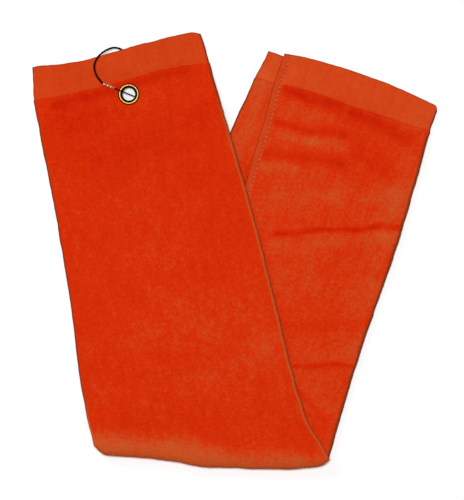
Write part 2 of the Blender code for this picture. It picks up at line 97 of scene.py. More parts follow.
# How far each layer's end falls short of the leg's length, as (p across the leg, mm)
FRONT_DIP = [
    (0, -4.3), (0.04, -4.1), (0.18, -1.0), (0.38, 0.3), (0.55, -0.7), (0.76, -1.9), (0.94, -1.7), (1, 1.0),
]
REAR_FACE_DIP = [
    (0, 1.2), (0.2, 0.5), (0.4, -2.6), (0.7, -5.6), (0.87, -5.0), (0.96, -3.9), (0.985, -2.6), (1, 1.2),
]
REAR_LEFT_DIP = [(0, 1.2), (0.12, 1.6), (0.3, 0.2), (0.5, -3.0), (0.7, -4.6), (0.9, -3.4), (1, -2)]
REAR_RIGHT_DIP = [
    (0.1, -1.4), (0.13, -2.3), (0.19, -3.8), (0.3, -5.5), (0.5, -6.6), (0.68, -6.5), (0.87, -5.2),
    (0.96, -3.9), (0.985, -2.6), (1, 1.2),
]
# How far the velour's edge at the border strays from its straight line, as (p, mm)
FRONT_EDGE = [(0, 2.0), (0.2, 0.7), (0.4, 1.2), (0.55, 2.3), (0.76, 4.2), (1, 3.0)]
REAR_EDGE = [(0, 3.0), (0.12, 3.8), (0.25, 6.2), (0.45, 5.8), (0.6, 5.5), (0.84, 5.8), (1, 5.8)]
# How far the crease bulges beyond the line that the legs start from, as (p, mm)
CREASE_DEPTH = [(0, 1.5), (0.02, 5.2), (0.045, 7.6), (0.2, 7.8), (0.33, 9.4), (0.45, 12.2), (0.66, 11.8),
                (0.8, 10.8), (0.93, 8.2), (0.97, 6.0), (1, 1.5)]

# Grommet and ring
GROMMET_FROM_END = 35 * MM
GROMMET_FROM_MIDDLE = -0.5 * MM
HOLE_RADIUS, BARREL_WALL, FLANGE_RADIUS, FLANGE = 5.0 * MM, 0.5 * MM, 8.6 * MM, 0.5 * MM
PINCH_FLAT, PINCH_BLEND = 2.5 * MM, 12 * MM
WIRE_RADIUS = 0.6 * MM
DRAWN_RADIUS = 0.76 * MM
GATE_RADIUS = 0.5 * MM
RING_TILT, RING_LEAN = math.radians(36), math.radians(16.9)
RING_FLOOR_GAP = 0.2 * MM
GATE_ANGLE = math.radians(57.5)
GATE_BEYOND, CATCH_START, CATCH_LENGTH = 8 * MM, 14 * MM, 11.4 * MM
CATCH_RADIUS, CATCH_NECK = 1.0 * MM, 0.62 * MM
HOOP = [
    (20.5, 24.6), (28.0, 24.3), (33.5, 20.0), (37.0, 13.5), (38.9, 6.0), (38.7, -0.5),
    (35.6, -6.4), (30.0, -10.8), (21.5, -13.4), (12.0, -13.9), (3.0, -13.2), (-3.6, -11.9),
    (-6.6, -9.9),
]
PROP_ALONG, PROP_ACROSS, PROP_MIDDLE = 60 * MM, 35 * MM, 19 * MM

CREASE_GAP = 0.03 * MM
# Cells across the left flap, each fold, the face panel and the right flap
CELLS = {"front": (30, 12, 100, 30), "rear": (50, 12, 50, 96)}
CREASE_CELLS, CREASE_STEPS, CREASE_WEAVE = (40, 10, 110, 40), 25, 26 * MM

# Hem: its height over the cloth, as (share of its width from the free edge, mm)
HEM_PROFILE = [
    (0, -0.55), (0.03, -0.2), (0.09, 0.0), (0.2, 0.12), (0.4, 0.15), (0.62, 0.12), (0.76, 0.0),
    (0.82, -0.28), (0.88, -0.02), (0.95, 0.0), (1, -0.1),
]
HEM_ROWS, HEM_OVERLAP, HEM_LEAST, HEM_RIPPLE, HEM_UNDER = 260, 0.05 * MM, 0.25 * MM, 0.1 * MM, 0.3 * MM
HEM_GROOVE = 0.82
STITCH_STEP, STITCH_LENGTH, STITCH_RADIUS = 3.3 * MM, 1.9 * MM, 0.42 * MM
STITCH_SUNK, STITCH_UNDER = 0.02 * MM, 0.48 * MM
STITCH_JITTER, STITCH_SIZES, STITCH_AHEAD = 0.08, (0.9, 1.1), 0.002

# Rows of points along a leg
VELOUR_ROW, BORDER_ROW, LAST_ROW, END_EDGE = 1.6 * MM, 1.2 * MM, 0.6 * MM, 0.9 * MM
SHOULDER_ROUND = 1.4 * MM
SHOULDER_ROWS = np.array([1.4, 0.9, 0.5, 0.22]) * MM

# Unevenness of the cloth: how much up and down as (mm, size of its patches in mm, seed), how much
# sideways as (mm, size of its patches in mm), and how far it keeps from the grommet and the crease
SWELLS = ((0.55, 42, 1), (0.4, 21, 2), (0.12, 7, 3))
WOBBLES = ((0.35, 11), (0.16, 3.5))
CALM_GROMMET, CALM_BLEND, CALM_CREASE = 3 * MM, 16 * MM, 9 * MM


def mix(a, b, share):
    return a + (b - a) * share


def smooth(x):
    """0 below 0, 1 above 1, and a soft step between."""
    x = np.clip(x, 0.0, 1.0)
    return x * x * (3 - 2 * x)


def along_curve(points, x):
    """The value at x of a smooth curve through (x, mm) points, in metres."""
    at, value = np.array(points, float).T
    near, far = np.r_[at[0], at, at[-1]], np.r_[value[0], value, value[-1]]
    slope = (far[2:] - far[:-2]) / (near[2:] - near[:-2])
    x = np.clip(x, at[0], at[-1])
    i = np.clip(np.searchsorted(at, x) - 1, 0, len(at) - 2)
    span = at[i + 1] - at[i]
    share = (x - at[i]) / span
    bend = slope[i] * share * (1 - share) ** 2 - slope[i + 1] * share**2 * (1 - share)
    return (mix(value[i], value[i + 1], smooth(share)) + span * bend) * MM


def noise(points, size, seed):
    """Soft noise between -1 and 1 over flat points, with patches of about that size."""
    lattice = np.random.default_rng(SEED + seed).uniform(-1, 1, (64, 64))
    x, y = points[..., 0] / size + 1000, points[..., 1] / size + 1000
    i, j = np.floor(x).astype(int), np.floor(y).astype(int)
    u, v = smooth(x - i), smooth(y - j)
    low = mix(lattice[i % 64, j % 64], lattice[(i + 1) % 64, j % 64], u)
    high = mix(lattice[i % 64, (j + 1) % 64], lattice[(i + 1) % 64, (j + 1) % 64], u)
    return mix(low, high, v)


def flat_direction(angle):
    return np.array((math.cos(angle), math.sin(angle)))


joints = {joint["name"]: joint for joint in frame["joints"]}
CREASE_MIDDLE = np.array(joints["crease_unfold"]["pos_m"][:2])
VELOUR_PITCH, WOVEN_PITCH, PINCHED_PITCH = VELOUR + PILE_GAP, WOVEN + WOVEN_GAP, PINCHED + PINCHED_GAP
FRONT_BASE = 3 * VELOUR_PITCH + LEG_GAP
AXIS_HEIGHT = (3 * VELOUR_PITCH - PILE_GAP + FRONT_BASE) / 2
STACK = 3 * VELOUR_PITCH - PILE_GAP
CREASE_DIRECTION = flat_direction(CREASE_TILT)
ALONG = flat_direction(CREASE_TILT + math.pi / 2)


class Leg:
    """One leg of the folded towel: where a point (p, q) of it lies, and how high its layers are.

    p runs from the left fold to the right fold, and q from the crease to the leg's end.
    """

    def __init__(self, name, lean, length, end_width, right_flap, bows, dips, edge_stray, layers):
        self.name = name
        self.length = length
        self.end_width = end_width
        self.right_flap = right_flap
        self.bows = bows
        self.dips = dips
        self.edge_stray = edge_stray
        self.across = flat_direction(CREASE_TILT + lean)
        self.axis = flat_direction(CREASE_TILT + lean + math.pi / 2)
        self.layers = {layer: index for index, layer in enumerate(layers)}
        self.direction = 1 if self.layers["face_panel"] == 0 else -1
        self.border_start = 1 - BORDER_DEPTH / length

    def place(self, p, q, layer="face_panel"):
        """Flat position of a point of the leg, from the middle of the crease."""
        p, q = np.broadcast_arrays(p, q)
        start = CREASE_DIRECTION * ((p - 0.5) * CREASE_WIDTH)[..., None]
        end = self.axis * self.length + self.across * ((p - 0.5) * self.end_width)[..., None]
        left, right = (along_curve(bow, q) for bow in self.bows)
        sideways = mix(CREASE_DIRECTION, self.across, q[..., None])
        past = (q - self.border_start) / (1 - self.border_start)
        tent = np.where(past > 0, 1 - past, smooth((q - 0.7) / (self.border_start - 0.7)))
        slip = along_curve(self.edge_stray, p) * tent - along_curve(self.dips[layer], p) * np.clip(past, 0, 1)
        spot = mix(start, end, q[..., None]) + sideways * mix(left, right, p)[..., None]
        return spot + self.axis * slip[..., None]

    def width(self, q):
        return (self.place(1.0, q) - self.place(0.0, q)) @ self.across

    def left_flap(self, q):
        return CLOTH_WIDTH - self.width(q) - self.right_flap

    def base(self, p, q):
        """Height of the underside of the lowest layer."""
        if self.name == "rear":
            return np.zeros(np.broadcast(p, q).shape)
        spot = self.place(p, q)
        edge_start, edge_end = REAR.place(0.0, 0.0), REAR.place(0.0, 1.0)
        edge = (edge_end - edge_start) / np.linalg.norm(edge_end - edge_start)
        offset = spot - edge_start
        inside = edge[1] * offset[..., 0] - edge[0] * offset[..., 1]
        over = smooth((inside + DRAPE_OUT) / (DRAPE_OUT + DRAPE_IN))
        lying = FRONT_BASE * (1 - smooth(q / DRAPE_START) * (1 - over))
        return mix(GROMMET_BASE, lying + prop_height(spot), self.clear_of_grommet(p, q))

    def clear_of_grommet(self, p, q):
        """0 under the grommet's flange, rising to 1 where the cloth has its full thickness."""
        reach = np.linalg.norm(self.place(p, q) - GROMMET, axis=-1)
        return smooth((reach - FLANGE_RADIUS - PINCH_FLAT) / PINCH_BLEND)

    def build_up(self, p, q):
        """Height from one layer's underside to the next one's, and the gap within it."""
        above = smooth((self.border_start - q) * self.length / BORDER_BLEND)
        pitch = mix(WOVEN_PITCH, VELOUR_PITCH, above)
        gap = mix(WOVEN_GAP, PILE_GAP, above)
        if self.name == "front":
            clear = self.clear_of_grommet(p, q)
            pitch = mix(PINCHED_PITCH, pitch, clear)
            gap = mix(PINCHED_GAP, gap, clear)
        return pitch, gap

    def faces_of(self, layer, p, q):
        pitch, gap = self.build_up(p, q)
        bottom = self.base(p, q) + self.layers[layer] * pitch
        return bottom, bottom + pitch - gap

    def fold(self, layers, p, q):
        """Middle height, outer radius and inner radius of the fold that joins two layers."""
        low, high = sorted(layers, key=self.layers.get)
        bottom, low_top = self.faces_of(low, p, q)
        high_bottom, top = self.faces_of(high, p, q)
        return (bottom + top) / 2, (top - bottom) / 2, (high_bottom - low_top) / 2

    def shoulder(self, q):
        """How far the pile stands out where it meets the flat border, rounded off at its very edge."""
        rise = smooth(1 - (self.border_start - q) * self.length / BORDER_BLEND)
        return SHOULDER * rise * np.sqrt(smooth((self.border_start - q) * self.length / SHOULDER_ROUND))


def prop_height(spot):
    """Rise of the cloth over the ring, an oval mound round the ring's axis."""
    offset = spot - (GROMMET + RING_AXIS * PROP_MIDDLE)
    along, across = offset @ RING_AXIS / PROP_ALONG, offset @ RING_SIDE / PROP_ACROSS
    return PROP_RISE * np.exp(-along * along - across * across)


FRONT = Leg(
    "front", LEG_ANGLE / 2, 328.5 * MM, 137 * MM, 134 * MM, FRONT_BOWS,
    {"face_panel": FRONT_DIP, "left_flap": FRONT_DIP, "right_flap": FRONT_DIP}, FRONT_EDGE,
    ("right_flap", "left_flap", "face_panel"),
)
REAR = Leg(
    "rear", -LEG_ANGLE / 2, 316.5 * MM, 143.5 * MM, 130 * MM, REAR_BOWS,
    {"face_panel": REAR_FACE_DIP, "left_flap": REAR_LEFT_DIP, "right_flap": REAR_RIGHT_DIP}, REAR_EDGE,
    ("face_panel", "left_flap", "right_flap"),
)
GROMMET = FRONT.axis * (FRONT.length - GROMMET_FROM_END) + FRONT.across * GROMMET_FROM_MIDDLE
RING_AXIS = flat_direction(RING_LEAN + math.pi / 2)
RING_SIDE = flat_direction(RING_LEAN + math.pi)
GROMMET_HEIGHT = max(-across for _, across in HOOP) * MM * math.sin(RING_TILT) + WIRE_RADIUS + RING_FLOOR_GAP
GROMMET_BASE = GROMMET_HEIGHT - (3 * PINCHED_PITCH - PINCHED_GAP) / 2
PROP_RISE = GROMMET_BASE / math.exp(-((PROP_MIDDLE / PROP_ALONG) ** 2))

LEFT_LAYERS, RIGHT_LAYERS = ("face_panel", "left_flap"), ("face_panel", "right_flap")


def section(leg, q, cells, trim=HEM_WIDTH, shoulder=False):
    """The cloth's run round a leg, from the left flap's edge to the right flap's, at rows q.

    Gives, for the outside and the inside, p and height, with the distance along the cloth, the
    layer of each column and how far each point is round the outer side of a fold, 1 at its outmost.
    """
    q = np.asarray(q, float)[:, None]
    raised = leg.shoulder(q) if shoulder else np.zeros_like(q)
    width, left_flap = leg.width(q), leg.left_flap(q)
    left_inset, right_inset = leg.fold(LEFT_LAYERS, 0.0, q)[1], leg.fold(RIGHT_LAYERS, 1.0, q)[1]
    rows = []

    def flat(layer, start, end, count, origin, sign):
        distance = mix(start, end, np.linspace(0, 1, count + 1)[None, :])
        p = distance / width
        bottom, top = leg.faces_of(layer, p, q)
        outside_up = (layer == "face_panel") == (leg.direction < 0)
        out_z = top + raised if outside_up else bottom - raised
        rows.append((p, out_z, p, bottom if outside_up else top, origin + sign * distance, layer, 0 * p))

    def turn(layers, side, count, origin, inset):
        p_fold = 0.0 if side < 0 else 1.0
        middle, outer, inner = leg.fold(layers, p_fold, q)
        share = np.linspace(0, 1, count + 1)[None, 1:-1]
        angle = math.pi * (share - 0.5) * side * leg.direction
        found = []
        for radius in (outer + raised, inner):
            out = side * (radius * np.cos(angle) - outer)
            found += [p_fold + out / width, middle + radius * np.sin(angle)]
        rows.append((*found, origin + mix(-inset, inset, share), "face_panel", np.cos(angle) + 0 * outer))

    flat("left_flap", left_flap - trim, left_inset, cells[0], left_flap, -1)
    turn(LEFT_LAYERS, -1, cells[1], left_flap, left_inset)
    flat("face_panel", left_inset, width - right_inset, cells[2], left_flap, 1)
    turn(RIGHT_LAYERS, 1, cells[1], left_flap + width, right_inset)
    far_edge = width - leg.right_flap + trim
    flat("right_flap", width - right_inset, far_edge, cells[3], left_flap + 2 * width, -1)

    def joined(k):
        return np.hstack([np.broadcast_to(row[k], (len(q), row[0].shape[1])) for row in rows])

    layer_of = np.concatenate([[row[5]] * row[0].shape[1] for row in rows])
    return [joined(k) for k in (0, 1, 2, 3, 4, 6)], layer_of


def lay(flat, height):
    """Flat positions and heights as points, with real cloth's soft unevenness, none below the floor."""
    spot = flat + CREASE_MIDDLE
    near = np.linalg.norm(flat - GROMMET, axis=-1)
    loose = smooth((near - FLANGE_RADIUS - CALM_GROMMET) / CALM_BLEND)
    swell = sum(amount * noise(spot, size * MM, seed) for amount, size, seed in SWELLS)
    lift = swell * loose * np.clip(height / STACK, 0, 1) * MM
    sideways = [
        sum(noise(spot, size * MM, seed + k) * amount for k, (amount, size) in enumerate(WOBBLES))
        for seed in (4, 6)
    ]
    wobble = np.stack(sideways, -1)
    calm = smooth(np.abs(flat @ ALONG) / CALM_CREASE)
    spot = spot + wobble * (loose * calm * MM)[..., None]
    return np.concatenate([spot, np.maximum(height + lift, 0)[..., None]], -1)


def strokes(flat, leg, marks):
    """Brushed marks on the nap: each (across, along, across, along, half width, strength), in mm."""
    s, t = flat @ leg.across / MM, flat @ leg.axis / MM
    s = s + 2.5 * noise(flat, 16 * MM, 11)
    t = t + 2.0 * noise(flat, 19 * MM, 12)
    ragged = flat @ np.stack([leg.across * 0.35, leg.axis], -1)
    total = np.zeros(s.shape)
    for s0, t0, s1, t1, half, strength in marks:
        length = math.hypot(s1 - s0, t1 - t0)
        share = np.clip(((s - s0) * (s1 - s0) + (t - t0) * (t1 - t0)) / length**2, 0, 1)
        gap = np.hypot(s - mix(s0, s1, share), t - mix(t0, t1, share))
        total += strength * np.exp(-((gap / half) ** 2)) * (0.8 + 0.4 * noise(ragged, 4 * MM, 13))
    return total


REAR_MARKS = [
    (-46, 291, -4, 294, 4.0, -1.2), (12, 291, 57, 287, 5.5, -1.0), (-44, 264, 10, 271, 3.0, -1.0),
    (-46, 238, 16, 248, 4.6, -0.9), (26, 264, 60, 256, 8.0, -0.5), (-36, 257, 14, 262, 4.6, 0.7),
    (-46, 228, -18, 231, 4.5, 0.55), (-38, 279, -2, 282, 4.5, 0.5), (64, 262, 76, 110, 12.0, 0.35),
    (-15, 181, 77, 218, 2.2, -1.2), (-10, 172, 76, 208, 6.0, 0.3), (0, 140, 74, 166, 9.0, 0.2),
    (14, 112, 76, 136, 4.0, -0.35), (37, 87, 79, 102, 1.8, -0.9), (34, 96, 78, 110, 6.0, 0.25),
    (46, 68, 73, 54, 2.2, -0.6), (-70, 292, -66, 205, 9.0, 0.6), (30, 228, 70, 240, 12.0, 0.35),
    (-22, 208, 20, 226, 5.0, 0.3),
]
FRONT_MARKS = [
    (-60, 297, 50, 303, 4.5, -0.7), (-62, 284, -28, 280, 8.0, -0.5), (-40, 250, 50, 262, 18.0, -0.4),
    (-50, 78, 50, 78, 45.0, 0.28), (-70, 90, 40, 70, 12.0, -0.15), (10, 60, 60, 70, 10.0, 0.2),
]


def tone_of(flat, leg):
    """How the nap lies: below 0 it is brushed dark, above 0 pale, as where the crease wears it."""
    beyond = -(flat @ ALONG) / MM
    left = smooth(-(flat @ CREASE_DIRECTION) / (60 * MM) + 0.5)
    wear_and_fold_shade = smooth((beyond + 12 + 9 * left) / 26 + 0.07 * noise(flat, 9 * MM, 17)) * 1.3
    drift = 0.12 * noise(flat, 55 * MM, 14) + 0.08 * noise(flat, 20 * MM, 15) - 0.12
    brushed = flat @ np.stack([leg.across, leg.axis * 0.3], -1)
    streak = 0.16 * noise(brushed, 2.2 * MM, 16) + 0.1 * noise(brushed, 4.5 * MM, 18)
    marks, level = (REAR_MARKS, 0.2) if leg is REAR else (FRONT_MARKS, -0.05)
    return strokes(flat, leg, marks) + drift + streak + wear_and_fold_shade + level


def deselect():
    for obj in bpy.context.selected_objects:
        obj.select_set(False)


def only(obj):
    deselect()
    obj.select_set(True)
    bpy.context.view_layer.objects.active = obj


def set_values(mesh, name, values):
    attribute = mesh.attributes.new(name, "FLOAT", "POINT")
    attribute.data.foreach_set("value", np.asarray(values, np.float32).ravel())


def link(name, mesh, finish):
    mesh.materials.append(finish)
    obj = bpy.data.objects.new(name, mesh)
    bpy.context.scene.collection.objects.link(obj)
    return obj


def shell(name, outside, inside, finish, uv=None, **values):
    """A closed sheet between two grids of points."""
    rows, columns = outside.shape[:2]
    count = rows * columns
    index = np.arange(count).reshape(rows, columns)
    quads = np.stack([index[:-1, :-1], index[:-1, 1:], index[1:, 1:], index[1:, :-1]], -1).reshape(-1, 4)
    ring = np.concatenate([index[0, :-1], index[:-1, -1], index[-1, :0:-1], index[:0:-1, 0]])
    after = np.roll(ring, -1)
    rim = np.stack([after, ring, ring + count, after + count], -1)
    faces = np.concatenate([quads, quads[:, ::-1] + count, rim])
    points = np.concatenate([outside.reshape(-1, 3), inside.reshape(-1, 3)])
    a, b, c, d = (points[faces[:, k]] for k in range(4))
    if np.einsum("ij,ij->", a + b + c + d, np.cross(c - a, d - b)) < 0:
        faces = faces[:, ::-1]
    mesh = bpy.data.meshes.new(name)
    mesh.from_pydata(points, [], faces)
    if uv is not None:
        corner = np.empty(len(mesh.loops), np.int32)
        mesh.loops.foreach_get("vertex_index", corner)
        both = np.concatenate([uv.reshape(-1, 2)] * 2).astype(np.float32)
        mesh.uv_layers.new(name="cloth").data.foreach_set("uv", both[corner].ravel())
    for key, grid in values.items():
        flat = np.broadcast_to(grid, (rows, columns)).ravel()
        set_values(mesh, key, np.concatenate([flat, flat]))
    obj = link(name, mesh, finish)
    only(obj)
    bpy.ops.object.shade_smooth_by_angle(angle=math.radians(50))
    return obj


def placed(leg, p, z, q, layer_of):
    """Points of a section, each column at its own layer's end line."""
    flat = np.empty((*p.shape, 2))
    for layer in set(layer_of):
        pick = layer_of == layer
        flat[:, pick] = leg.place(p[:, pick], q[:, None], layer)
    return flat


def leg_cloth(leg, name, q, cells, finish, shoulder=False, end_edge_shade=0.0):
    """The cloth of a leg between the hems, folded round in three layers, with painted shade on its folds'
    outer sides and along its end, and a painted sheen along a fold that lies over the other leg.
    """
    (p_out, z_out, p_in, z_in, along, turned), layer_of = section(leg, q, cells, shoulder=shoulder)
    flat_out, flat_in = placed(leg, p_out, z_out, q, layer_of), placed(leg, p_in, z_in, q, layer_of)
    uv = np.stack([along, np.broadcast_to(q[:, None] * leg.length, along.shape)], -1)
    over = smooth(leg.base(p_out, q[:, None]) / FRONT_BASE)
    # Painted shade: darker on the outer side of each fold, less where the cloth lies over the other leg, and
    # along the leg's end for the border.
    edge = smooth((turned - 0.25) / 0.5) * (1 - over)
    # Painted sheen: a paler tone along the top of a fold that lies over the other leg.
    grazing_sheen = 2.2 * over * smooth((turned - 0.2) / 0.4) * (1 + 0.4 * noise(flat_out, 3 * MM, 23))
    end_shade = smooth((q - 1) * leg.length / END_EDGE + 1)[:, None] * end_edge_shade
    return shell(
        name, lay(flat_out, z_out), lay(flat_in, z_in), finish, uv,
        tone=tone_of(flat_out, leg) + grazing_sheen, edge=np.maximum(edge, end_shade),
    )


def hem(leg, layer, name):
    """The turned hem along a flap's free edge, with a groove where it is sewn down, and painted shade in that
    groove and along its edges.
    """
    side = 1 if layer == "left_flap" else -1
    q = np.linspace(CREASE_GAP / leg.length, 1, HEM_ROWS)
    width = leg.width(q[:, None])
    edge = leg.left_flap(q[:, None]) if side > 0 else width - leg.right_flap
    share, raised = np.array(HEM_PROFILE).T[:, None, :]
    raised = raised * MM
    p = (edge - side * HEM_WIDTH * share) / width
    bottom, top = leg.faces_of(layer, p, q[:, None])
    flat = leg.place(p, q[:, None], layer)
    ripple = HEM_RIPPLE * noise(flat, 3.1 * MM, 21)
    up = leg is REAR
    upper = top + raised + ripple if up else top - HEM_OVERLAP + 0 * raised
    lower = bottom + HEM_OVERLAP + 0 * raised if up else bottom + HEM_UNDER - raised - ripple
    upper = np.maximum(upper, lower + HEM_LEAST)
    tone = 0.25 * noise(flat, 8 * MM, 22)
    # Painted shade: darker at the hem's end, along its free edge and in the sewn groove.
    hem_end_shade = smooth((q - 1) * leg.length / END_EDGE + 1)[:, None]
    border = np.maximum(0.7 * (share < 0.05), 0.45 * ((share > 0.8) & (share < 0.84)))
    uv = np.stack([p * width, np.broadcast_to(q[:, None] * leg.length, p.shape)], -1)
    grids = (lay(flat, upper), lay(flat, lower))
    outside, inside = grids if up else grids[::-1]
    return shell(name, outside, inside, HEM, uv, tone=tone, edge=np.maximum(hem_end_shade, border))


def stitches(leg, layer, name):
    """The row of stitches on a hem, each a small rounded bar lying in the groove."""
    side = 1 if layer == "left_flap" else -1
    count = int(leg.length / STITCH_STEP)
    rng = np.random.default_rng(SEED + len(name))
    deselect()
    bpy.ops.mesh.primitive_uv_sphere_add(segments=8, ring_count=6, radius=1)
    ball = bpy.context.object
    shape = np.array([v.co for v in ball.data.vertices])
    polygons = [list(face.vertices) for face in ball.data.polygons]
    bpy.data.objects.remove(ball)
    points, faces = [], []
    for number in range(count):
        q = np.array([(number + 0.5 + rng.uniform(-STITCH_JITTER, STITCH_JITTER)) / count])
        width = leg.width(q)
        edge = leg.left_flap(q) if side > 0 else width - leg.right_flap
        p = (edge - side * HEM_WIDTH * HEM_GROOVE) / width
        bottom, top = leg.faces_of(layer, p, q)
        height = top - STITCH_SUNK if leg is REAR else bottom + STITCH_UNDER
        centre = lay(leg.place(p, q, layer), height)[0]
        ahead = lay(leg.place(p, q + STITCH_AHEAD, layer), height)[0]
        forward = (ahead - centre) / np.linalg.norm(ahead - centre)
        sideways = np.cross((0, 0, 1), forward)
        frame_of = np.stack([forward, sideways, np.cross(forward, sideways)])
        scale = np.array([STITCH_LENGTH / 2, STITCH_RADIUS, STITCH_RADIUS]) * rng.uniform(*STITCH_SIZES)
        faces += [[v + len(points) * len(shape) for v in face] for face in polygons]
        points.append((shape * scale) @ frame_of + centre)
    mesh = bpy.data.meshes.new(name)
    mesh.from_pydata(np.concatenate(points), [], faces)
    obj = link(name, mesh, THREAD)
    only(obj)
    bpy.ops.object.shade_smooth()
    return obj


def crease_cloth(name, columns, finish):
    """Part of the cloth's run turning over at the crease, from the rear leg up to the front leg."""
    turns = np.linspace(0, 1, CREASE_STEPS)
    parts, layer_of = section(REAR, [0.0], CREASE_CELLS, trim=0.0)
    front, _ = section(FRONT, [0.0], CREASE_CELLS, trim=0.0)
    pick = columns(len(layer_of), CREASE_CELLS)
    grids = []
    for k in (0, 2):
        p = mix(parts[k][:, pick], front[k][:, pick], turns[:, None])
        radius = AXIS_HEIGHT - parts[k + 1][:, pick]
        angle = (turns[:, None] - 0.5) * math.pi
        back = along_curve(CREASE_DEPTH, p) * radius / AXIS_HEIGHT * np.cos(angle)
        rear_spot, front_spot = REAR.place(p, 0.0), FRONT.place(p, 0.0)
        flat = mix(rear_spot, front_spot, turns[:, None, None]) - ALONG * back[..., None]
        grids.append((flat, AXIS_HEIGHT + radius * np.sin(angle)))
    (flat, height), (flat_in, height_in) = grids
    # Painted shade on the outermost side of the crease's turn.
    edge = 0.3 * smooth((np.cos(angle) - 0.84) / 0.12) + 0 * height
    run = np.broadcast_to(parts[4][:, pick], height.shape)
    uv = np.stack([run, turns[:, None] * -CREASE_WEAVE + 0 * run], -1)
    tone = np.where(turns[:, None] > 0.5, tone_of(flat, FRONT), tone_of(flat, REAR))
    return shell(name, lay(flat, height), lay(flat_in, height_in), finish, uv, tone=tone, edge=edge)


# Materials


class Link:
    """A shader output that adds and multiplies like a number."""

    def __init__(self, tree, socket=None):
        self.tree, self.socket = tree, socket

    def make(self, kind, inputs, output=0, **settings):
        node = self.tree.nodes.new("ShaderNode" + kind)
        for key, value in settings.items():
            setattr(node, key, value)
        for key, value in inputs.items():
            if isinstance(value, Link):
                self.tree.links.new(value.socket, node.inputs[key])
            else:
                node.inputs[key].default_value = value
        return Link(self.tree, node.outputs[output])

    def math(self, operation, other, clamp=False):
        return self.make("Math", {0: self, 1: other}, operation=operation, use_clamp=clamp)

    def __add__(self, other):
        return self.math("ADD", other)

    def __sub__(self, other):
        return self.math("SUBTRACT", other)

    def __mul__(self, other):
        return self.math("MULTIPLY", other)

    def clamp(self):
        return self.math("ADD", 0.0, clamp=True)

    def noise(self, where, size, detail=2.0):
        """Noise between about -1 and 1, with patches of that size."""
        inputs = {"Vector": where, "Scale": 1 / size, "Detail": detail, "Roughness": 0.6}
        return (self.make("TexNoise", inputs) - 0.5) * 2.6

    def blend(self, first, second, share):
        return self.make("Mix", {0: share, 6: first, 7: second}, 2, data_type="RGBA")

    def value_of(self, name):
        return self.make("Attribute", {}, 2, attribute_name=name)


def material(name, **uniform):
    made = bpy.data.materials.new(name)
    made.use_nodes = True
    shader = made.node_tree.nodes["Principled BSDF"]
    for key, value in uniform.items():
        shader.inputs[key.replace("_", " ")].default_value = value
    return made, shader, Link(made.node_tree)


def join(output, shader, name):
    output.tree.links.new(output.socket, shader.inputs[name])


def colour(red, green, blue):
    """A colour given as it shows on a screen, 0 to 255, as linear light."""
    return (*(((c / 255 + 0.055) / 1.055) ** 2.4 for c in (red, green, blue)), 1)


def cloth(name, deep, middle, pale, wear_and_fold_shade, mottle, pile, rib=0.0):
    """A matt cloth: three tones chosen by the nap, speckled, with painted shade round its folds and edges,
    with bump.
    """
    made, shader, start = material(name, Roughness=1.0, Specular_IOR_Level=0.02)
    where = start.make("TexCoord", {}, 3)
    tone = start.value_of("tone")
    grain = start.noise(where, 2.6 * MM, 3.0)
    fleck = start.noise(where, 1.1 * MM, 1.0)
    patch = start.noise(where, 9 * MM, 2.0)
    shade = tone + grain * mottle + fleck * (mottle * 0.55) + patch * (mottle * 0.25)
    base = start.blend(start.blend(deep, middle, (shade + 1.0).clamp()), pale, shade.clamp())
    # Painted shade: the edge attribute blends in the fold-shade colour along folds and edges.
    base = start.blend(base, wear_and_fold_shade, (start.value_of("edge") * 0.95).clamp())
    height = grain * 0.5 + fleck
    if rib:
        run = start.make("UVMap", {}, 0, uv_map="cloth")
        parts = start.make("SeparateXYZ", {0: run})
        up = Link(parts.tree, parts.socket.node.outputs[1])
        weft = (up * (2 * math.pi / rib)).math("SINE", 0.0)
        warp = (parts * (2 * math.pi / rib)).math("SINE", 0.0)
        height = height * 0.35 + weft * 0.9 + warp * 0.5
        base = start.blend(base, deep, (weft * 0.5 + 0.5).clamp() * 0.14)
    join(base, shader, "Base Color")
    bump = start.make("Bump", {"Strength": 0.55, "Distance": pile, "Height": height})
    join(bump, shader, "Normal")
    return made


def metal(name, bright, dark, roughness):
    made, shader, start = material(name, Metallic=1.0)
    where = start.make("TexCoord", {}, 3)
    stain = start.noise(where, 1.6 * MM, 3.0)
    share = (start.value_of("tone") + stain * 0.18).clamp()
    join(start.blend(bright, dark, share), shader, "Base Color")
    join((stain * 0.06 + roughness).clamp(), shader, "Roughness")
    return made


# Each cloth's fourth colour is painted shade for its folds and edges, and for the hem's sewn groove.
VELOUR_FINISH = cloth(
    "velour", colour(196, 30, 2), colour(210, 47, 7), colour(200, 82, 36), colour(132, 56, 24),
    0.6, 0.7 * MM,
)
BORDER = cloth(
    "woven_border", colour(194, 48, 12), colour(205, 67, 23), colour(210, 86, 42), colour(104, 38, 14),
    0.42, 0.16 * MM, rib=1.3 * MM,
)
HEM = cloth(
    "hem", colour(184, 52, 17), colour(200, 65, 26), colour(208, 86, 44), colour(110, 30, 8),
    0.42, 0.18 * MM, rib=1.1 * MM,
)
THREAD = material("thread", Base_Color=colour(222, 98, 48), Roughness=0.8)[0]
BRASS = metal("grommet_brass", colour(178, 144, 78), colour(40, 24, 6), 0.36)
# The wire's bright colour is a painted highlight, used on the catch.
WIRE = metal("ring_wire", colour(248, 218, 186), colour(24, 8, 5), 0.32)

# The cloth


def rows_of(leg, start, end, step):
    return np.linspace(start, end, max(2, round((end - start) * leg.length / step)) + 1)


def dressed(obj, slot, body, *nodes):
    if body:
        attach(obj, body)
    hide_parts(*nodes)
    return obj


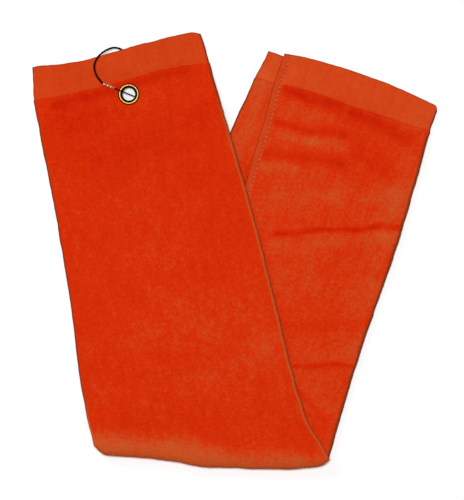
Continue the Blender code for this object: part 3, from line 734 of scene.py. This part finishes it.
LEG_BODY = {"front": "front_leg", "rear": "rear_leg"}
cloths = {}
for leg in (REAR, FRONT):
    side = leg.name
    body = LEG_BODY[side]
    q = rows_of(leg, CREASE_GAP / leg.length, leg.border_start, VELOUR_ROW)
    shoulder_rows = 1 - SHOULDER_ROWS / leg.length
    q = np.sort(np.concatenate([q, leg.border_start - 1 + shoulder_rows]))
    velour = leg_cloth(leg, f"{side}_leg_cloth", q, CELLS[side], VELOUR_FINISH, shoulder=True)
    q = rows_of(leg, leg.border_start, 1, BORDER_ROW)
    q = np.append(q[:-1], [1 - LAST_ROW / leg.length, 1])
    border = leg_cloth(leg, f"{side}_border_cloth", q, CELLS[side], BORDER, end_edge_shade=1.0)
    hems, rows = [], []
    for flap in ("left_flap", "right_flap"):
        piece = hem(leg, flap, f"{side}_{flap}_hem_band")
        hems.append(dressed(piece, "hem", body, f"{side}_{flap}_hem"))
        row = stitches(leg, flap, f"{side}_{flap}_stitches")
        rows.append(dressed(row, "thread", body, f"{side}_{flap}_stitching"))
    nodes = ("face_panel", "left_flap", "right_flap", "left_fold", "right_fold")
    cloths[side] = (velour, border, hems + rows, [f"{side}_{node}" for node in nodes])


def grommet_hole(obj, radius):
    """Bores the cloth where the eyelet passes through all its layers."""
    deselect()
    centre = GROMMET + CREASE_MIDDLE
    place = (*centre, GROMMET_HEIGHT)
    bpy.ops.mesh.primitive_cylinder_add(vertices=64, radius=radius, depth=40 * MM, location=place)
    cutter = bpy.context.object
    only(obj)
    cut = obj.modifiers.new("hole", "BOOLEAN")
    cut.object = cutter
    cut.solver = "MANIFOLD"
    bpy.ops.object.modifier_apply(modifier="hole")
    bpy.data.objects.remove(cutter)


grommet_hole(cloths["front"][0], HOLE_RADIUS + BARREL_WALL + 0.3 * MM)

for leg in (REAR, FRONT):
    velour, border, trims, nodes = cloths[leg.name]
    dressed(velour, "velour", LEG_BODY[leg.name], *nodes)
    dressed(border, "woven_border", LEG_BODY[leg.name], f"{leg.name}_woven_border")


def face_columns(count, cells):
    return np.arange(cells[0] + cells[1] - 1, count - cells[3] - cells[1])


def left_columns(count, cells):
    return np.arange(0, cells[0] + cells[1] + 1)


def right_columns(count, cells):
    return np.arange(count - cells[3] - cells[1] - 1, count)


for name, columns, node, lift in (
    ("crease_outer_cloth", face_columns, "crease_outer_wrap", VELOUR),
    ("crease_middle_cloth", left_columns, "crease_middle_wrap", VELOUR_PITCH + VELOUR),
    ("crease_inner_cloth", right_columns, "crease_inner_wrap", 2 * VELOUR_PITCH + VELOUR),
):
    piece = dressed(crease_cloth(name, columns, VELOUR_FINISH), "velour", None, node)
    clear = lift + 0.4 * MM
    low, high = (*CREASE_MIDDLE, clear), (*CREASE_MIDDLE, 2 * AXIS_HEIGHT - clear)
    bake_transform(piece)

# The grommet

SPIN_STEPS = 96


def spun(name, profile, tones):
    """A turned brass piece: its closed (radius, height) profile spun round Z, with a tone along it."""
    mesh = bpy.data.meshes.new(name)
    count = len(profile)
    edges = [(k, (k + 1) % count) for k in range(count)]
    mesh.from_pydata([(r, 0, z) for r, z in profile], edges, [])
    obj = link(name, mesh, BRASS)
    only(obj)
    bpy.ops.object.mode_set(mode="EDIT")
    bpy.ops.mesh.select_all(action="SELECT")
    bpy.ops.mesh.spin(steps=SPIN_STEPS, angle=2 * math.pi, center=(0, 0, 0), axis=(0, 0, 1))
    bpy.ops.mesh.select_all(action="SELECT")
    bpy.ops.mesh.remove_doubles(threshold=0.01 * MM)
    bpy.ops.mesh.normals_make_consistent(inside=False)
    bpy.ops.object.mode_set(mode="OBJECT")
    bpy.ops.object.shade_smooth_by_angle(angle=math.radians(40))
    at = np.array([(math.hypot(v.co.x, v.co.y), v.co.z) for v in obj.data.vertices])
    set_values(obj.data, "tone", tones(at[:, 0], at[:, 1]))
    return obj


def arc(middle, radius, start, end, count):
    """Profile points round part of a circle, in degrees."""
    angles = np.radians(np.linspace(start, end, count))
    return [(middle[0] + radius * math.cos(a), middle[1] + radius * math.sin(a)) for a in angles]


half_cloth = (3 * PINCHED_PITCH - PINCHED_GAP) / 2
seat = half_cloth + 0.3 * MM
rim = seat + FLANGE
barrel = HOLE_RADIUS + BARREL_WALL
centre = Matrix.Translation((*(GROMMET + CREASE_MIDDLE), GROMMET_HEIGHT))
crown = (HOLE_RADIUS + 2.25 * MM, seat - 0.2 * MM)
eyelet_profile = [
    (HOLE_RADIUS + 0.05 * MM, -rim), (HOLE_RADIUS + 0.05 * MM, seat - 0.9 * MM),
    *arc((HOLE_RADIUS + 0.95 * MM, seat - 0.75 * MM), 0.9 * MM, 180, 118, 6),
    *arc(crown, 1.15 * MM, 138, 66, 14),
    *arc((FLANGE_RADIUS - 0.4 * MM, seat + 0.4 * MM), 0.4 * MM, 60, -90, 10),
    (barrel + 0.2 * MM, seat), (barrel, seat - 0.2 * MM), (barrel, -rim),
]


def eyelet_tone(r, z):
    """Dark round the bore's mouth and the flange's rim, brighter on the crown between them."""
    bore = smooth((6.55 * MM - r) / (0.5 * MM)) * smooth((z - seat + 1.3 * MM) / (0.4 * MM))
    return 1.1 * bore + smooth((r - 7.8 * MM) / (0.5 * MM)) + 0.46


washer_profile = [
    (barrel + 0.3 * MM, -seat), (FLANGE_RADIUS - 0.15 * MM, -seat),
    *arc((FLANGE_RADIUS - 0.25 * MM, -seat - 0.25 * MM), 0.25 * MM, 0, -90, 6),
    *arc((barrel + 0.55 * MM, -seat - 0.25 * MM), 0.25 * MM, -90, -180, 6),
]
eyelet = spun("eyelet", eyelet_profile, eyelet_tone)
washer = spun("washer", washer_profile, lambda r, z: 0.4 + 0 * r)
for piece, node in ((eyelet, "grommet_eyelet"), (washer, "grommet_washer")):
    piece.data.transform(centre)
    dressed(piece, "grommet_brass", "front_leg", node)

# The hook ring

# The catch beads carry the wire's bright colour as a painted highlight; the hoop carries its dark colour.
RING_TONE, CATCH_HIGHLIGHT_TONE = 1.15, 0.0
ring_across = Vector((*(RING_SIDE * math.cos(RING_TILT)), math.sin(RING_TILT))).normalized()
ring_axis = Vector((*RING_AXIS, 0))
ring_turn = centre @ Matrix((ring_axis, ring_across, ring_axis.cross(ring_across))).transposed().to_4x4()
gate = np.array((math.cos(GATE_ANGLE), math.sin(GATE_ANGLE)))


def smooth_path(points, steps):
    """Points along a Catmull-Rom curve through the given ones."""
    hem_end_shade = [2 * points[0] - points[1], *points, 2 * points[-1] - points[-2]]
    path = []
    for before, start, end, after in zip(hem_end_shade, hem_end_shade[1:], hem_end_shade[2:], hem_end_shade[3:]):
        for t in np.arange(steps) / steps:
            bend = (2 * before - 5 * start + 4 * end - after) * t
            bend = bend + (3 * start - 3 * end + after - before) * t * t
            path.append((2 * start + (end - before) * t + bend * t) / 2)
    return [*path, points[-1]]


def wire(name, path, radii, tone):
    """A bent wire in the ring's plane."""
    curve = bpy.data.curves.new(name, "CURVE")
    curve.dimensions = "3D"
    curve.bevel_depth = 1.0
    curve.bevel_resolution = 5
    curve.use_fill_caps = True
    spline = curve.splines.new("POLY")
    spline.points.add(len(path) - 1)
    for point, place, radius in zip(spline.points, path, radii):
        point.co = (place[0], place[1], 0, 1)
        point.radius = radius
    obj = bpy.data.objects.new(name, curve)
    curve.materials.append(WIRE)
    bpy.context.scene.collection.objects.link(obj)
    only(obj)
    bpy.ops.object.convert(target="MESH")
    obj = bpy.context.object
    bpy.ops.object.mode_set(mode="EDIT")
    bpy.ops.mesh.select_all(action="SELECT")
    bpy.ops.mesh.remove_doubles(threshold=0.001 * MM)
    bpy.ops.mesh.normals_make_consistent(inside=False)
    bpy.ops.object.mode_set(mode="OBJECT")
    bpy.ops.object.shade_smooth_by_angle(angle=math.radians(50))
    obj.data.transform(ring_turn)
    set_values(obj.data, "tone", np.full(len(obj.data.vertices), tone))
    return obj


hoop = [gate * (CATCH_START + CATCH_LENGTH - 0.3 * MM)]
hoop += [np.array(point) * MM for point in HOOP] + [gate * -GATE_BEYOND]
path = smooth_path(hoop, 12) + [gate * 0.0, gate * (CATCH_START - 0.2 * MM)]
gauges = [DRAWN_RADIUS] * (len(path) - 3) + [GATE_RADIUS] * 3
ring = wire("ring_hoop", path, gauges, RING_TONE)
dressed(ring, "ring_wire", "hook_ring", "ring_wire")

steps = np.linspace(0, 1, 61)
swell = np.abs(np.sin(steps * 3 * math.pi)) ** 0.45
radii = mix(CATCH_NECK, CATCH_RADIUS, swell)
catch_path = [gate * (CATCH_START + 0.1 * MM + share * (CATCH_LENGTH - 0.7 * MM)) for share in steps]
catch = wire("ring_catch_beads", catch_path, radii, CATCH_HIGHLIGHT_TONE)
dressed(catch, "ring_wire", "hook_ring", "ring_catch")

# Floor, lights and camera

deselect()
bpy.ops.mesh.primitive_plane_add(size=8, location=(0, 0, -0.1 * MM))
floor = bpy.context.object
floor.name = "floor"
paper = material("floor", Base_Color=(0.97, 0.97, 0.97, 1), Roughness=1.0, Specular_IOR_Level=0.0)[0]
floor.data.materials.append(paper)
floor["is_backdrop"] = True


def area_light(name, place, size, power):
    """A square lamp that looks at the middle of the towel."""
    light = bpy.data.lights.new(name, "AREA")
    light.shape = "SQUARE"
    light.size = size
    light.energy = power
    lamp = bpy.data.objects.new(name, light)
    lamp.location = place
    lamp.rotation_euler = (-Vector(place)).to_track_quat("-Z", "Y").to_euler()
    bpy.context.scene.collection.objects.link(lamp)


area_light("key", (-0.75, 0.75, 1.1), size=0.4, power=2.2)
area_light("overhead", (-0.1, 0.12, 2.0), size=0.36, power=34)

world = bpy.data.worlds.new("studio")
world.use_nodes = True
background = world.node_tree.nodes["Background"].inputs
background["Color"].default_value = (1, 1, 1, 1)
background["Strength"].default_value = 0.19
bpy.context.scene.world = world
bpy.context.scene.view_settings.view_transform = "Standard"

CAMERA_PLACE = (-2.9 * MM, 0.6 * MM, 2.4)
SENSOR_WIDTH, VIEW_WIDTH = 36, 0.4
camera = bpy.data.cameras.new("camera")
camera.sensor_width = SENSOR_WIDTH
camera.lens = SENSOR_WIDTH * CAMERA_PLACE[2] / VIEW_WIDTH
eye = bpy.data.objects.new("camera", camera)
eye.location = CAMERA_PLACE
bpy.context.scene.collection.objects.link(eye)
bpy.context.scene.camera = eye

rows = [[list(map(float, corner)) for corner in box] for box in (first_bounds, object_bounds())]
